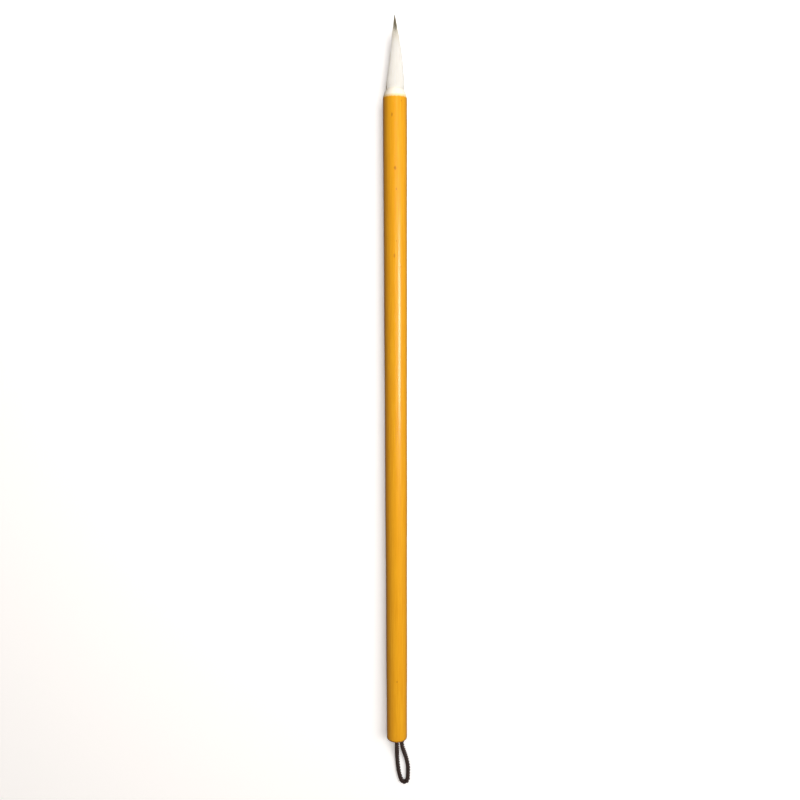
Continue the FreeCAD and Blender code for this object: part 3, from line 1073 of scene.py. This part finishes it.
rosin = set_resin("set_rosin", rgb(150, 86, 34), rgb(96, 48, 16), 0.35, 0.03 * MM)
glue = set_resin("amber_glue", rgb(214, 178, 112), rgb(176, 132, 70), 0.28, 0.03 * MM)
for node, finish in (
    ("root_seal", rosin), ("socket_glue", glue), ("tail_glue", glue), ("tail_peg", split_cane())
):
    frame["nodes"][node].material_slots[0].material = finish
for piece, nodes, slot in (
    (root_rod, ["root_bundle"], "bound_hair"),
    (root_hairs, ["root_bundle"], "bound_hair"),
    (windings, ["root_thread"], "binding_thread"),
):
    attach(piece, "handle")
    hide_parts(*nodes)
print("socket and tail dressed")

# %% [markdown]
# ## Table
# The handle is thinner at the tail than at the head, so a brush that lies on a table leans a
# little: the table here leans instead, by a fifth of a degree, and touches both the head and
# the loop. It glows faintly beside the brush and more brightly far away, so it looks white all
# over. The brush's own surfaces don't see it, which keeps the edges of the cane crisp.
# %% Lay the table
HEAD_RESTS_Y, FALL = mouth_y - 15.0 * MM, 0.00333
TABLE_HALF, TABLE_GAP = 12.0, 0.02 * MM


def table_top():
    half = TABLE_HALF
    square = [(-half, -half), (half, -half), (half, half), (-half, half)]
    corners = [(x, y, (HEAD_RESTS_Y - y) * FALL - TABLE_GAP) for x, y in square]
    mesh = bpy.data.meshes.new("table")
    mesh.from_pydata(corners, [], [(0, 1, 2, 3)])
    white = rgb(255, 255, 255)
    material, graph, shader = finish_named(
        "white_paper", Roughness=0.9, Base_Color=rgb(246, 246, 246), Emission_Color=white
    )
    away = graph.length(in_millimetres(graph))
    glow = graph.step(away, 150.0, 900.0, 0.24, 0.90)
    graph.link(glow, shader, "Emission Strength")
    return show("table", mesh, material)


table = table_top()
table.visible_diffuse = False
table.visible_glossy = False
print("table laid")

# %% [markdown]
# ## Soft light
# A lamp on the right makes the bright line along the glaze, and is the only one that the glaze
# mirrors. A broad lamp almost overhead gives most of the light, and a weak one low on the right
# lifts that side. For the brush the sky is even, dim and warm, so the left side of the cane is
# darker and its roundness shows. The camera alone sees the sky as pale as the table.
# %% Hang the lamps and paint the sky
def soft_lamp(name, place, target, width, length, power):
    data = bpy.data.lights.new(name, "AREA")
    data.shape = "RECTANGLE"
    data.size, data.size_y = width, length
    data.energy = power
    lamp = bpy.data.objects.new(name, data)
    lamp.location = place
    lamp.rotation_euler = (Vector(target) - Vector(place)).to_track_quat("-Z", "Y").to_euler()
    bpy.context.scene.collection.objects.link(lamp)
    return lamp


def lamp_at(degrees, distance, along):
    """A place round the brush: degrees from straight up towards the right."""
    angle = math.radians(degrees)
    return (distance * math.sin(angle), along, distance * math.cos(angle))


# name, degrees, distance, place along the brush, width, length, share, seen in the glaze;
# a share of 1 makes a matt white sheet that faces the lamp look just white
LAMPS = [
    ("strip_lamp", 38, 0.60, 0.078, 0.21, 0.22, 0.38, True),
    ("soft_lamp", 12, 0.42, 0.13, 0.24, 0.40, 0.95, False),
    ("side_lamp", 80, 0.60, 0.0, 0.40, 0.60, 0.06, False),
]
for name, degrees, distance, along, width, length, share, seen_in_glaze in LAMPS:
    place = lamp_at(degrees, distance, along)
    power = share * math.pi**2 * distance**2
    lamp = soft_lamp(name, place, (0, along, 0), length, width, power)
    lamp.visible_glossy = seen_in_glaze


DIM_AND_WARM, PALE = (0.16, 0.115, 0.077, 1.0), (0.92, 0.91, 0.90, 1.0)


def studio_sky():
    world = bpy.data.worlds.new("studio_sky")
    bpy.context.scene.world = world
    world.use_nodes = True
    background = world.node_tree.nodes["Background"]
    graph = Graph(world.node_tree)
    seen = graph.add("ShaderNodeLightPath").outputs["Is Camera Ray"]
    colour = graph.mix(seen, DIM_AND_WARM, PALE)
    graph.link(colour, background, "Color")


studio_sky()
bpy.context.scene.view_settings.view_transform = "Standard"
print("lit")
